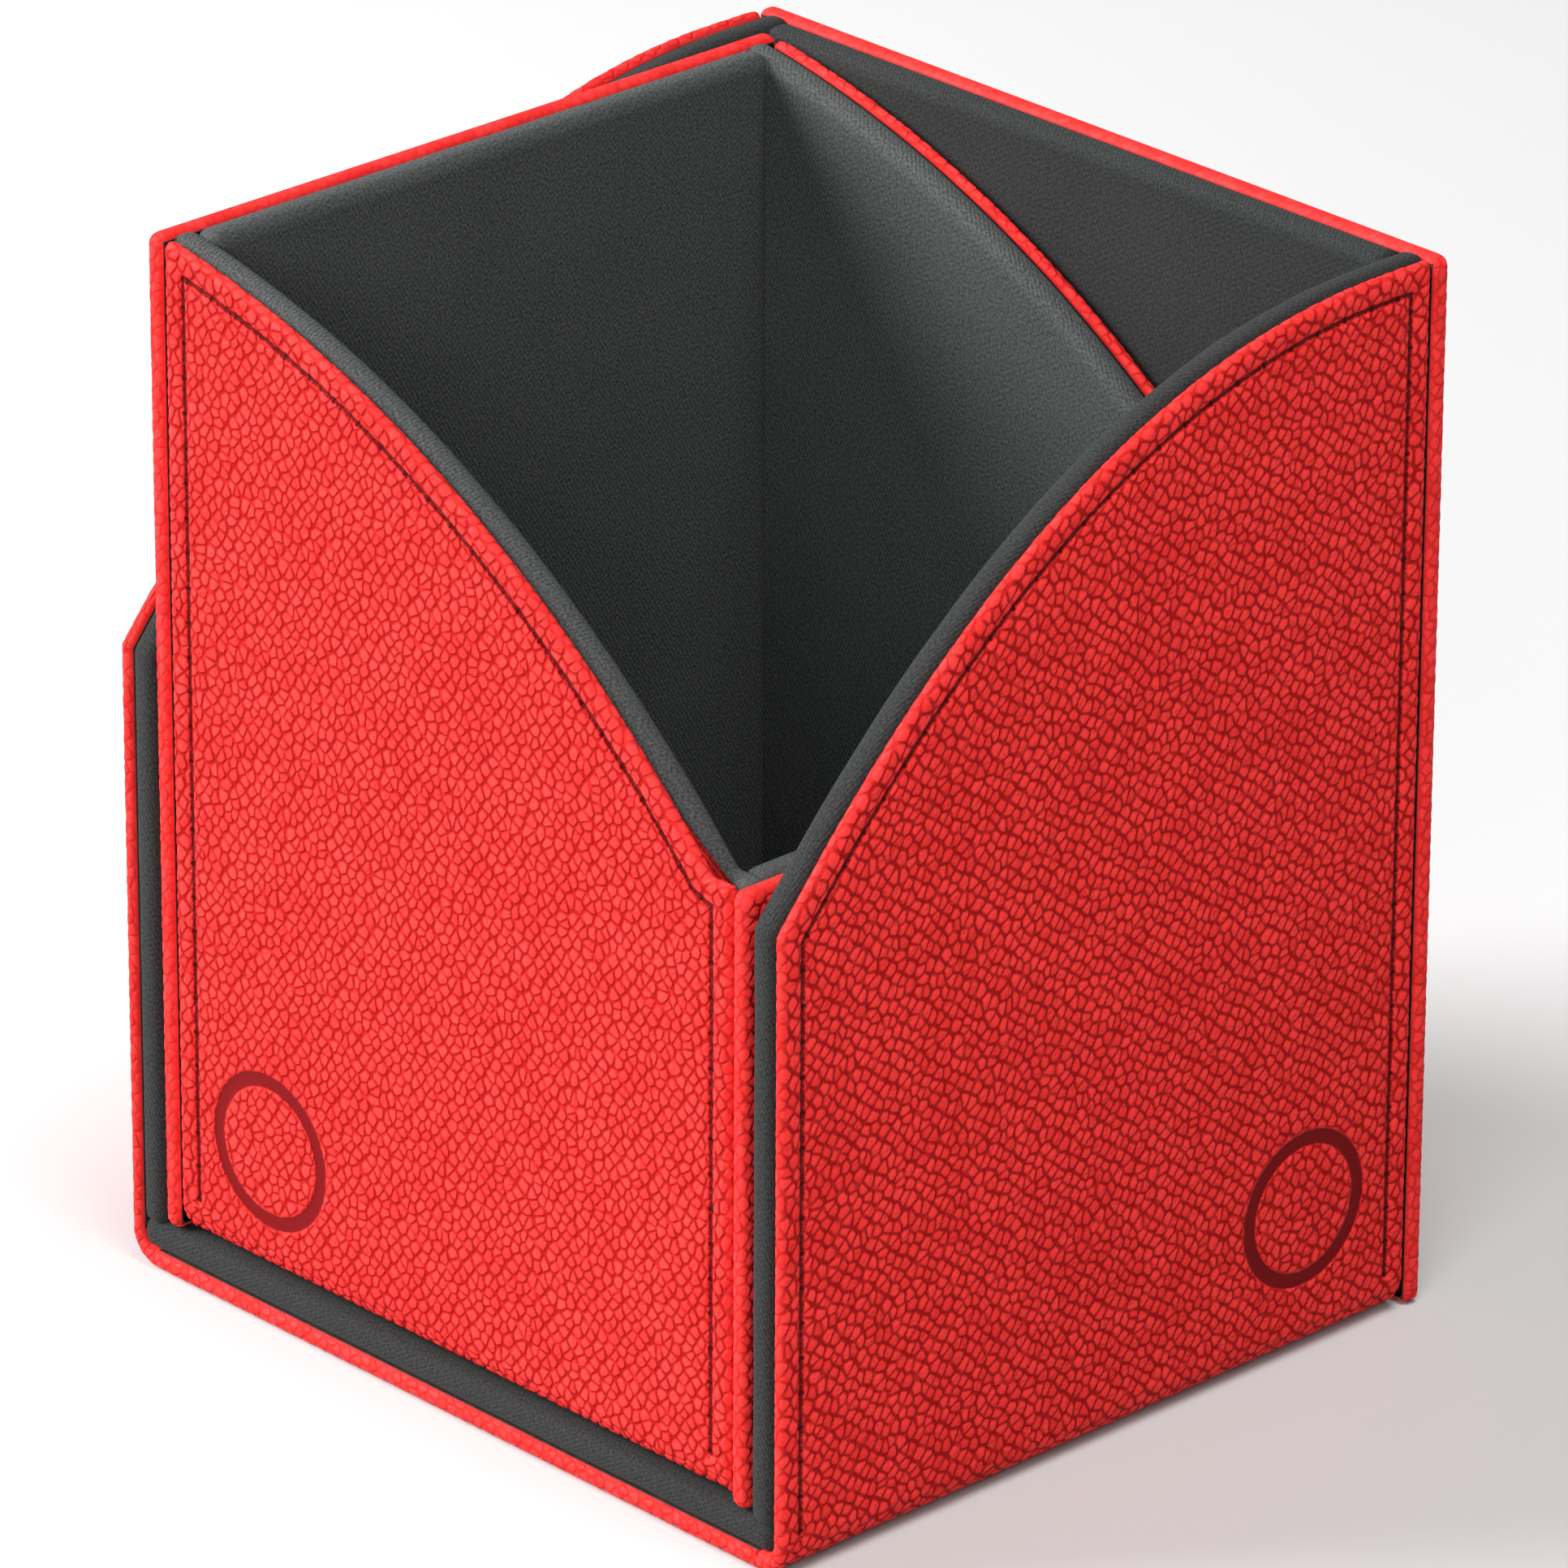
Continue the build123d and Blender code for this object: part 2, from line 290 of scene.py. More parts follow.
def pebbles(recipe, skin, from_edge):
    """Distance from a pebble's edge in millimetres, a random number for each pebble, and
    how deep the groove round it is. The border outside the seam has larger pebbles."""
    border = recipe.maths("LESS_THAN", from_edge, SEAM_INSET)
    wander = recipe.noise(skin, 0.22, 1.0)
    shift = recipe.vector("SUBTRACT", wander.outputs["Color"], (0.5, 0.5, 0.5))
    moved = recipe.vector("ADD", skin, recipe.vector("MULTIPLY", shift, (0.9, 0.9, 0.0)))
    inputs = {"Vector": moved, "Angle": PEBBLE_TILT}
    tilted = recipe.node("ShaderNodeVectorRotate", inputs, rotation_type="Z_AXIS").outputs[0]
    squeeze = (1 / PEBBLE_SIZE[0], 1 / PEBBLE_SIZE[1], 0.0)
    squeezed = recipe.vector("MULTIPLY", tilted, squeeze)
    scale = recipe.maths("SUBTRACT", 1.0, recipe.maths("MULTIPLY", border, BORDER_SCALE))
    inputs = {"Vector": squeezed, "Scale": scale, "Randomness": 0.62}
    kind = "ShaderNodeTexVoronoi"
    edges = recipe.node(kind, inputs, voronoi_dimensions="2D", feature="DISTANCE_TO_EDGE")
    cells = recipe.node(kind, inputs, voronoi_dimensions="2D", feature="F1")
    corner = recipe.maths("SUBTRACT", cells.outputs["Distance"], ROUNDED_CORNERS[0])
    corner = recipe.maths("MAXIMUM", corner, 0.0)
    corner = recipe.maths("MULTIPLY", corner, ROUNDED_CORNERS[1])
    distance = recipe.maths("SUBTRACT", edges.outputs["Distance"], corner)
    distance = recipe.maths("DIVIDE", distance, scale)
    distance = recipe.maths("MULTIPLY", distance, EDGE_TO_MM)
    own = recipe.node("ShaderNodeSeparateXYZ", {0: cells.outputs["Color"]}).outputs[0]
    merging = recipe.ramp(recipe.noise(skin, 0.9, 2.0).outputs[0], 0.32, 0.5, 0.6, 1.0)
    return distance, own, merging


def geometry_recipe(name, result, sockets):
    """An empty Geometry Nodes tree with its named inputs and its one result."""
    tree = bpy.data.node_groups.new(name, "GeometryNodeTree")
    for label, kind in sockets.items():
        tree.interface.new_socket(label, in_out="INPUT", socket_type="NodeSocket" + kind)
    tree.interface.new_socket(result, in_out="OUTPUT", socket_type="NodeSocketGeometry")
    recipe = Recipe(tree)
    return recipe, recipe.node("NodeGroupInput").outputs


def finish_tree(recipe, geometry, finish):
    """Ends a Geometry Nodes tree: real geometry with its material."""
    real = recipe.node("GeometryNodeRealizeInstances", {0: geometry}).outputs[0]
    inputs = {"Geometry": real, "Material": finish}
    finished = recipe.node("GeometryNodeSetMaterial", inputs).outputs[0]
    recipe.node("NodeGroupOutput", {0: finished})
    return recipe.tree


def raised(recipe, geometry, height):
    """Moves the points of a geometry along their normals."""
    normal = recipe.node("GeometryNodeInputNormal").outputs[0]
    offset = recipe.node("ShaderNodeVectorMath", {0: normal, 3: height}, operation="SCALE")
    inputs = {"Geometry": geometry, "Offset": offset.outputs[0]}
    return recipe.node("GeometryNodeSetPosition", inputs).outputs[0]


def own_vector(recipe, label):
    """A vector that the piece's own points carry."""
    kind = "GeometryNodeInputNamedAttribute"
    return recipe.node(kind, {0: label}, data_type="FLOAT_VECTOR").outputs[0]


def pebble_relief():
    """Geometry Nodes: presses the grooves between the pebbles into a leather sheet."""
    sockets = {"Leather": "Geometry", "Groove depth": "Float", "Shoulder width": "Float",
               "Finish": "Material"}
    recipe, given = geometry_recipe("pebble_relief", "Leather", sockets)
    skin = own_vector(recipe, "skin")
    split = recipe.node("ShaderNodeSeparateXYZ", {0: own_vector(recipe, "grain")})
    distance, own_height, merging = pebbles(recipe, skin, split.outputs[1])
    shoulder = recipe.ramp(distance, 0.0, given["Shoulder width"])
    low = recipe.maths("MULTIPLY", recipe.maths("SUBTRACT", shoulder, 1.0), merging)
    low = recipe.maths("SUBTRACT", low, recipe.maths("MULTIPLY", own_height, 0.3))
    low = recipe.maths("MULTIPLY", low, split.outputs[0])
    low = recipe.maths("MULTIPLY", low, given["Groove depth"])
    return finish_tree(recipe, raised(recipe, given["Leather"], low), given["Finish"])


def made_by(piece, tree, values):
    """Runs a Geometry Nodes tree on a piece and keeps the result as its plain mesh."""
    modifier = piece.modifiers.new(tree.name, "NODES")
    modifier.node_group = tree
    for socket in tree.interface.items_tree:
        if socket.in_out == "INPUT" and socket.name in values:
            modifier[socket.identifier] = values[socket.name]
    shapes = bpy.context.evaluated_depsgraph_get()
    result = piece.evaluated_get(shapes)
    mesh = bpy.data.meshes.new_from_object(
        result, preserve_all_data_layers=True, depsgraph=shapes)
    piece.modifiers.remove(modifier)
    old, piece.data = piece.data, mesh
    bpy.data.meshes.remove(old)
    mesh.name = piece.name
    return piece


def new_material(name, roughness, specular):
    """A material with its node recipe and its shader's inputs."""
    material = bpy.data.materials.new(name)
    material.use_nodes = True
    shader = material.node_tree.nodes["Principled BSDF"]
    shader.inputs["Roughness"].default_value = roughness
    shader.inputs["Specular IOR Level"].default_value = specular
    return material, Recipe(material.node_tree), shader.inputs


def leather_material():
    """Red pebbles with painted shade in their grooves and on their shoulders, a smooth pressed
    ring, and painted shade in the needle holes and along the seam.
    """
    material, recipe, shader = new_material("red_pebble_leather", 0.5, 0.05)
    skin = recipe.node("ShaderNodeAttribute", attribute_name="skin").outputs["Vector"]
    grain = recipe.node("ShaderNodeAttribute", attribute_name="grain").outputs["Vector"]
    seam = recipe.node("ShaderNodeAttribute", attribute_name="seam").outputs["Vector"]
    relief, from_edge, _ = recipe.node("ShaderNodeSeparateXYZ", {0: grain}).outputs
    from_seam, along, from_ring = recipe.node("ShaderNodeSeparateXYZ", {0: seam}).outputs
    distance, own, merging = pebbles(recipe, skin, from_edge)
    in_ring = recipe.maths(
        "MULTIPLY",
        recipe.ramp(from_ring, RING_RADII[0] - 0.08, RING_RADII[0] + 0.08),
        recipe.ramp(from_ring, RING_RADII[1] - 0.08, RING_RADII[1] + 0.08, 1.0, 0.0))
    grained = recipe.maths("SUBTRACT", 1.0, in_ring)
    grained = recipe.maths("MULTIPLY", grained, relief)
    groove = recipe.ramp(distance, 0.0, GROOVE_WIDTH, 1.0, 0.0)
    groove = recipe.maths("MULTIPLY", recipe.maths("MULTIPLY", groove, merging), grained)

    cloudy = recipe.noise(skin, 0.12, 3.0).outputs[0]
    tone = recipe.maths("ADD", recipe.maths("MULTIPLY", own, 0.5), cloudy)
    red = recipe.blend(recipe.ramp(tone, 0.45, 1.0), RED_DEEP, RED_BRIGHT)
    # Painted shade: darker towards each pebble's edge, darkest in the grooves between pebbles.
    red = recipe.blend(recipe.ramp(distance, 0.05, 0.3, 0.25, 0.0), red, RED_SHOULDER_SHADE)
    red = recipe.blend(groove, red, RED_GROOVE_SHADE)
    red = recipe.blend(in_ring, red, RED_RING)
    # Painted shade: the needle holes and a ragged line along the seam channel are coloured near
    # black, standing in for the shade inside them.
    hole_along = recipe.maths("PINGPONG", along, STITCH_PITCH / 2)
    hole = recipe.node("ShaderNodeCombineXYZ", {0: hole_along, 1: from_seam}).outputs[0]
    hole = recipe.node("ShaderNodeVectorMath", {0: hole}, operation="LENGTH").outputs["Value"]
    hole = recipe.ramp(hole, *HOLE_RADII, 1.0, 0.0)
    ragged = recipe.noise(skin, 2.4, 1.0).outputs[0]
    ragged = recipe.maths("MULTIPLY_ADD", ragged, 0.3, -0.15)
    line = recipe.ramp(recipe.maths("ADD", from_seam, ragged), 0.1, 0.32, 0.92, 0.0)
    dark = recipe.maths("MAXIMUM", hole, line)
    red = recipe.blend(dark, red, RED_HOLE_AND_SEAM_SHADE)
    recipe.tree.links.new(red, shader["Base Color"])

    micro = recipe.noise(skin, 9.0, 3.0).outputs[0]
    rough = recipe.maths("MULTIPLY_ADD", micro, 0.12, 0.42)
    rough = recipe.maths("MULTIPLY_ADD", groove, 0.2, rough)
    recipe.tree.links.new(rough, shader["Roughness"])
    shoulder = recipe.maths("MULTIPLY", recipe.ramp(distance, 0.0, 0.24), merging)
    shoulder = recipe.maths("MULTIPLY", shoulder, grained)
    height = recipe.maths("MULTIPLY_ADD", micro, 0.05, shoulder)
    height = recipe.maths("SUBTRACT", height, recipe.maths("MULTIPLY", dark, 0.8))
    bump = {"Height": height, "Strength": 1.0, "Distance": 0.27 * MM}
    bump = recipe.node("ShaderNodeBump", bump).outputs[0]
    recipe.tree.links.new(bump, shader["Normal"])
    return material


red_leather = leather_material()
relief_tree = pebble_relief()
LEATHER_GROOVES = {"Groove depth": 0.13 * MM, "Shoulder width": 0.36, "Finish": red_leather}


def place_on_side(side, x, v, depth):
    """World place of a point on an unrolled side: round the fold, then straight up."""
    radius = FOLD_RADIUS
    fold = radius * math.pi / 2
    angle = np.clip(v, 0, fold) / radius
    out = np.where(v < fold, side["half"] - radius + (radius - depth) * np.sin(angle),
                   side["half"] - depth)
    up = np.where(v < fold, radius - (radius - depth) * np.cos(angle), radius + v - fold)
    start, along, outward = (np.array(side[key]) for key in ("start", "along", "outward"))
    points = start + x[:, None] * along + out[:, None] * outward
    return points + up[:, None] * np.array((0, 0, 1.0))


def carried(values, shift):
    """Places on the unrolled sheet as vectors, moved to a stretch of grain of their own."""
    return np.concatenate([values + shift, np.zeros((len(values), 1))], 1)


def plain_grain(turned):
    """Grain without a border, softer round the edges."""
    relief = softer_round_edge(turned)
    return np.stack([relief, np.full_like(relief, FAR), np.zeros_like(relief)], 1)


def grained_piece(name, points, faces, attributes, body, replaced):
    """Leather with its pebbles pressed in, on its body and in place of its CAD node."""
    piece = as_object(name, points, faces, attributes)
    made_by(piece, relief_tree, LEATHER_GROOVES)
    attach(piece, body)
    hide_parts(replaced)


def side_leather(name, side, body, replaced):
    """The leather of one curved side with its fold, rims, seam channel and pressed ring."""
    radius = SIDE_SKIN / 2
    fold = FOLD_RADIUS * math.pi / 2
    at = inset_top(side["top"], radius)
    across = spread(side["ends"][0] + radius, side["ends"][1] - radius, SIDE_MESH)
    tallest = side["top"][:, 1].max()
    up = spread(0, tallest, SIDE_MESH) / tallest

    def top(x):
        height, edge_x, edge_y = at(x)
        return 0.0, height + fold - FOLD_RADIUS, edge_x, edge_y

    def thicker_below(v):
        return 1 + (BASE_SKIN / SIDE_SKIN - 1) * soft_step(fold, 0, v)

    sheet = folded_sheet(across, up, top, round_rim(radius), (False, True), thicker_below)
    x, v = sheet["x"], sheet["y"]
    flat = np.stack([x, v], 1)
    from_seam, along = along_line(flat, seam_path(side))
    along *= STITCH_PITCH / seam_pitch(side)[0]
    from_ring = np.hypot(x - side["ring"][0], v - side["ring"][1] - fold + FOLD_RADIUS)
    corners = side["top"] + (0, fold - FOLD_RADIUS)
    inside = corners[(corners[:, 0] > side["ends"][0]) & (corners[:, 0] < side["ends"][1])]
    first, last = (np.interp(end, *corners.T) for end in side["ends"])
    outline = np.concatenate([[(side["ends"][0], -FAR), (side["ends"][0], first)], inside,
                              [(side["ends"][1], last), (side["ends"][1], -FAR)]])
    from_edge = along_line(flat, outline)[0]
    front = sheet["turned"] == 0
    ring = soft_step(RING_RADII[0] - 0.2, RING_RADII[0] + 0.1, from_ring)
    ring *= 1 - soft_step(RING_RADII[1] - 0.1, RING_RADII[1] + 0.2, from_ring)
    channel = np.exp(-(from_seam / SEAM_WIDTH) ** 2)
    pillow = soft_step(SEAM_INSET, 1.2, from_edge) * soft_step(0.2, 1.2, from_edge)
    pressed = RING_DEPTH * ring + SEAM_DEPTH * channel - PILLOW_HEIGHT * pillow
    round_edge = soft_step(1.6, 0.0, from_edge) + soft_step(1.6, 5.0, from_edge)
    depth = sheet["depth"] + front * (pressed + EDGE_DROP * (1 - round_edge))
    relief = (1 - ring) * (1 - 0.85 * channel) * softer_round_edge(sheet["turned"])
    above_fold = v > fold
    attributes = {
        "skin": carried(sheet["skin"] * (side["mirror"], 1), side["shift"]),
        "grain": np.stack([relief, np.where(above_fold, from_edge, FAR), relief * 0], 1),
        "seam": np.stack([np.where(above_fold, from_seam, FAR), along, from_ring], 1),
    }
    points = place_on_side(side, x, v, depth)
    grained_piece(name, points, sheet["faces"], attributes, body, replaced)


def base_leather(name, side, body, replaced):
    """The leather under the base, between the folds of both sides."""
    radius = BASE_SKIN / 2
    half = side["half"] - FOLD_RADIUS
    across = spread(side["ends"][0] + radius, side["ends"][1] - radius, BASE_MESH)
    up = spread(0, 1, tuple(gap / (2 * half) for gap in BASE_MESH), 0.0)

    def top(x):
        return -half, half + 0 * x, 0 * x, 1 + 0 * x

    sheet = folded_sheet(across, up, top, round_rim(radius), (False, False))
    start, along, outward = (np.array(side[key]) for key in ("start", "along", "outward"))
    points = start + sheet["x"][:, None] * along + sheet["y"][:, None] * outward
    points = points + sheet["depth"][:, None] * np.array((0, 0, 1.0))
    attributes = {
        "skin": carried((sheet["skin"] - (0, half)) * (side["mirror"], 1), side["shift"]),
        "grain": plain_grain(sheet["turned"]),
        "seam": np.full_like(points, FAR),
    }
    grained_piece(name, points, sheet["faces"], attributes, body, replaced)


low, high = (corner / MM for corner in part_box("lid_side_wrap"))
lid_face = high.y + HIGH_WALL_TO_SIDE
lid_side = {
    "top": curved_top(8.0, 49.4, lid_face - low.y, high.z, 64.6, 0.0),
    "ends": (HIGH_WALL_TO_SIDE, lid_face - low.y),
    "half": high.x,
    "start": (0, lid_face, 0),
    "along": (0, -1, 0),
    "ring": (16.4, 15.35),
    "mirror": -1,
    "shift": (0, 0),
}
lid_right = dict(lid_side, outward=(1, 0, 0))
lid_left = dict(lid_side, outward=(-1, 0, 0), shift=(140, 31))
side_leather("lid_right_leather", lid_right, "lid", "lid_side_wrap")
side_leather("lid_left_leather", lid_left, "lid", "lid_side_wrap")
base_leather("lid_base_leather", lid_right, "lid", "lid_side_wrap")


# ---------------------------------------------------------------------------
# Tray leather: the same leather over the tray's front side, base and rear side.
# The front side stands flush with the lid's open rim.
# ---------------------------------------------------------------------------

TRAY_JOIN = 0.25  # how far the sides are pressed against the low wall's cover
low, high = (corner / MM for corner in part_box("tray_side_wrap"))
tray_middle = (low.y + high.y) / 2
tray_height = high.z - low.z
tray_face = low.x - HIGH_WALL_TO_SIDE
tray_side = {
    "top": curved_top(2.0, 44.0, 75.7, tray_height, 62.0, 6.6),
    "ends": (HIGH_WALL_TO_SIDE, high.x - tray_face + TRAY_JOIN),
    "half": (high.y - low.y) / 2,
    "start": (tray_face, tray_middle, low.z),
    "along": (1, 0, 0),
    "ring": (15.4, 13.3),
    "mirror": 1,
    "shift": (260, 57),
}
tray_front = dict(tray_side, outward=(0, -1, 0))
tray_rear = dict(tray_side, outward=(0, 1, 0), shift=(400, 83))
side_leather("tray_front_leather", tray_front, "tray", "tray_side_wrap")
side_leather("tray_rear_leather", tray_rear, "tray", "tray_side_wrap")
base_leather("tray_base_leather", tray_front, "tray", "tray_side_wrap")


# ---------------------------------------------------------------------------
# Wall covers: a board wrapped in the same leather on all its edges, glued
# between the two sides at each end. Its edges are rounded by the thickness of
# the leather.
# ---------------------------------------------------------------------------

COVER_CORNER = 1.2
COVER_ROUND = 0.75
COVER_MESH = (0.3, 0.42)
COVER_FOLD = (0.3, 1.5)  # the grain comes back between these depths below the top edge


def wrapped_rim(corner, front, back, thickness, steps=4):
    """Edge of a plate: flat to its corner, round, straight, and round at the back."""
    turn = np.linspace(0, math.pi / 2, steps + 1)
    out = np.concatenate([[0], corner - front + front * np.sin(turn),
                          corner - back + back * np.cos(turn)])
    deep = np.concatenate([[0], front * (1 - np.cos(turn)),
                           thickness - back + back * np.sin(turn)])
    if corner <= front:
        out, deep = out[1:], deep[1:]
    run = np.concatenate([[0], np.cumsum(np.hypot(np.diff(out), np.diff(deep)))])
    return np.stack([out, deep, run], 1)


def plate_frame(node, outward):
    """A node's box seen from its face: start corner, along, up and outward directions,
    width, height and thickness, in millimetres."""
    low, high = (np.array(corner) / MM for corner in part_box(node))
    outward = np.array(outward, float)
    up = np.array((0, 0, 1.0)) if outward[2] == 0 else np.array((1.0, 0, 0))
    along = np.cross(up, outward)
    size = high - low
    corner = (low + high) / 2 + (outward - along) @ np.diag(size / 2) - up * size / 2
    return corner, along, up, outward, *(float(abs(size @ way)) for way in (along, up, outward))


def on_plate(corner, along, up, out, sheet):
    """World places of a sheet laid over a plate."""
    points = corner + sheet["x"][:, None] * along + sheet["y"][:, None] * up
    return points - sheet["depth"][:, None] * out


def wall_cover(name, node, outward, body, shift):
    """A wrapped board's leather. It is stretched smooth over its top edge."""
    corner, along, up, out, width, height, thickness = plate_frame(node, outward)
    rim = wrapped_rim(COVER_CORNER, COVER_ROUND, COVER_ROUND, thickness)
    across = spread(COVER_CORNER, width - COVER_CORNER, COVER_MESH)
    rows = spread(0, 1, tuple(gap / height for gap in COVER_MESH), 0.04)

    def top(x):
        return COVER_CORNER, height - COVER_CORNER + 0 * x, 0 * x, 1 + 0 * x

    sheet = folded_sheet(across, rows, top, rim)
    points = on_plate(corner, along, up, out, sheet)
    grain = plain_grain(sheet["turned"])
    below_fold = soft_step(height - COVER_FOLD[0], height - COVER_FOLD[1], sheet["y"])
    grain[:, 0] *= 0.15 + 0.85 * below_fold
    attributes = {"skin": carried(sheet["skin"], shift), "grain": grain,
                  "seam": np.full_like(points, FAR)}
    grained_piece(name, points, sheet["faces"], attributes, body, node)


wall_cover("lid_high_wall_leather", "lid_high_wall_cover", (0, 1, 0), "lid", (520, 11))
wall_cover("tray_high_wall_leather", "tray_high_wall_cover", (-1, 0, 0), "tray", (640, 23))
wall_cover("tray_low_wall_leather", "tray_low_wall_cover", (1, 0, 0), "tray", (760, 47))


# ---------------------------------------------------------------------------
# Linings: grey microfibre over thin foam, one pad on each inner face. The
# fabric turns over the rims and is glued behind the leather's edge, so every
# pad has soft round edges.
# ---------------------------------------------------------------------------

PAD_ROUND = 1.4  # at the edge towards the room inside
PAD_BACK_ROUND = 1.3
PAD_MESH = (0.4, 0.8)
PAD_TUCK = 0.8  # how far a pad's end goes behind the next wall's pad
PAD_UNEVENNESS = 0.1
# One fabric in two brightnesses: the lid's pads are painted darker and the tray's lighter, as
# painted light and shade for how each is lit.
LID_PAINTED_SHADE, TRAY_PAINTED_LIGHT = 0.031, 0.080


def lining_material(name, shade):
    """Dark grey microfibre: fine diagonal ribs under a short light nap."""
    material, recipe, shader = new_material(name, 0.9, 0.15)
    skin = recipe.node("ShaderNodeAttribute", attribute_name="skin").outputs["Vector"]
    x, y, _ = recipe.node("ShaderNodeSeparateXYZ", {0: skin}).outputs
    wander = recipe.maths("MULTIPLY", recipe.noise(skin, 1.3, 2.0).outputs[0], 0.35)
    slant = recipe.maths("MULTIPLY_ADD", y, 0.5, recipe.maths("MULTIPLY", x, 0.866))
    slant = recipe.maths("ADD", slant, wander)
    rib = recipe.maths("SINE", recipe.maths("MULTIPLY", slant, 2 * math.pi / 0.42))
    yarn = recipe.maths("MULTIPLY_ADD", x, -0.5, recipe.maths("MULTIPLY", y, 0.866))
    yarn = recipe.maths("SINE", recipe.maths("MULTIPLY", yarn, 2 * math.pi / 0.5))
    weave = recipe.maths("MULTIPLY_ADD", yarn, 0.35, rib)
    stretched = recipe.vector("MULTIPLY", skin, (3.6, 3.2, 1.0))
    nap = recipe.noise(stretched, 1.0, 4.0).outputs[0]
    patches = recipe.noise(skin, 0.08, 2.0).outputs[0]
    tone = recipe.maths("MULTIPLY_ADD", weave, 0.07, recipe.ramp(nap, 0.32, 0.72))
    tone = recipe.maths("MULTIPLY_ADD", patches, 0.3, tone)
    dark, light = ((*(shade * share for share in tint), 1)
                   for tint in ((0.33, 0.355, 0.35), (0.96, 1.0, 0.985)))
    grey = recipe.blend(tone, dark, light)
    recipe.tree.links.new(grey, shader["Base Color"])
    shader["Sheen Weight"].default_value = 0.04
    shader["Sheen Roughness"].default_value = 0.45
    shader["Sheen Tint"].default_value = (0.75, 0.8, 0.8, 1)
    height = recipe.maths("MULTIPLY_ADD", nap, 1.4, recipe.maths("MULTIPLY", weave, 0.5))
    bump = {"Height": height, "Strength": 0.7, "Distance": 0.05 * MM}
    recipe.tree.links.new(recipe.node("ShaderNodeBump", bump).outputs[0], shader["Normal"])
    return material


def nap_relief():
    """Geometry Nodes: the slight unevenness of fabric glued over foam."""
    sockets = {"Lining": "Geometry", "Unevenness": "Float", "Finish": "Material"}
    recipe, given = geometry_recipe("nap_relief", "Lining", sockets)
    skin = own_vector(recipe, "skin")
    fine = recipe.noise(skin, 1.6, 2.0).outputs[0]
    broad = recipe.noise(skin, 0.11, 1.0).outputs[0]
    low = recipe.maths("MULTIPLY_ADD", broad, 1.3, recipe.maths("MULTIPLY", fine, 0.6))
    low = recipe.maths("SUBTRACT", 0.3, low)
    low = recipe.maths("MULTIPLY", low, given["Unevenness"])
    low = recipe.maths("MINIMUM", low, 0.0)
    return finish_tree(recipe, raised(recipe, given["Lining"], low), given["Finish"])


lid_lining_painted_shade = lining_material("grey_microfibre_lid_painted_shade", LID_PAINTED_SHADE)
tray_lining_painted_light = lining_material("grey_microfibre_tray_painted_light", TRAY_PAINTED_LIGHT)
nap_tree = nap_relief()


def lining_pad(name, node, inward, body, shift, curve=None, tucked=(True, True)):
    """A pad whose face looks inward. A curved side's pad is cut to the side's own top.
    Its ends are tucked behind the next wall, apart from one at an open rim."""
    corner, along, up, out, width, height, thickness = plate_frame(node, inward)
    corner = corner - along * PAD_TUCK * tucked[0]
    width = width + PAD_TUCK * sum(tucked)
    rim = wrapped_rim(PAD_ROUND, PAD_ROUND, PAD_BACK_ROUND, thickness)
    across = spread(PAD_ROUND, width - PAD_ROUND, PAD_MESH)
    rows = spread(0, 1, tuple(gap / height for gap in PAD_MESH), 0.06)
    if curve is None:
        def top(x):
            return PAD_ROUND, height - PAD_ROUND + 0 * x, 0 * x, 1 + 0 * x
    else:
        way = along @ np.array(curve["along"])
        place = np.array(curve["start"]) - corner
        start = place @ along
        at = inset_top(curve["top"], PAD_ROUND)

        def top(x):
            top_height, edge_x, edge_y = at((x - start) * way)
            return PAD_ROUND, top_height + place[2], edge_x * way, edge_y

    sheet = folded_sheet(across, rows, top, rim)
    points = on_plate(corner, along, up, out, sheet)
    piece = as_object(name, points, sheet["faces"], {"skin": carried(sheet["skin"], shift)})
    finish = lid_lining_painted_shade if body == "lid" else tray_lining_painted_light
    made_by(piece, nap_tree, {"Unevenness": PAD_UNEVENNESS * MM, "Finish": finish})
    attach(piece, body)
    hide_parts(node, node.replace("lining", "padding"))


lining_pad("lid_right_pad", "lid_right_lining", (-1, 0, 0), "lid", (0, 0), lid_side, (True, False))
lining_pad("lid_left_pad", "lid_left_lining", (1, 0, 0), "lid", (120, 9), lid_side, (False, True))
lining_pad("lid_high_wall_pad", "lid_high_wall_lining", (0, -1, 0), "lid", (240, 31))
lining_pad("lid_base_pad", "lid_base_lining", (0, 0, 1), "lid", (360, 17), tucked=(False, False))
lining_pad("tray_front_pad", "tray_front_lining", (0, 1, 0), "tray", (480, 5), tray_side)
lining_pad("tray_rear_pad", "tray_rear_lining", (0, -1, 0), "tray", (600, 43), tray_side)
lining_pad("tray_high_wall_pad", "tray_high_wall_lining", (1, 0, 0), "tray", (720, 29))
lining_pad("tray_low_wall_pad", "tray_low_wall_lining", (-1, 0, 0), "tray", (840, 13))
lining_pad("tray_base_pad", "tray_base_lining", (0, 0, 1), "tray", (960, 37))


# ---------------------------------------------------------------------------
# Seam thread: one row of separate stitches round each curved side, pulled down
# into a channel, the ends of each stitch going into needle holes.
# ---------------------------------------------------------------------------

THREAD = 0.36
THREAD_SEAT = 0.4  # depth of its middle under the leather's face
STITCH_LENGTH = 2.9


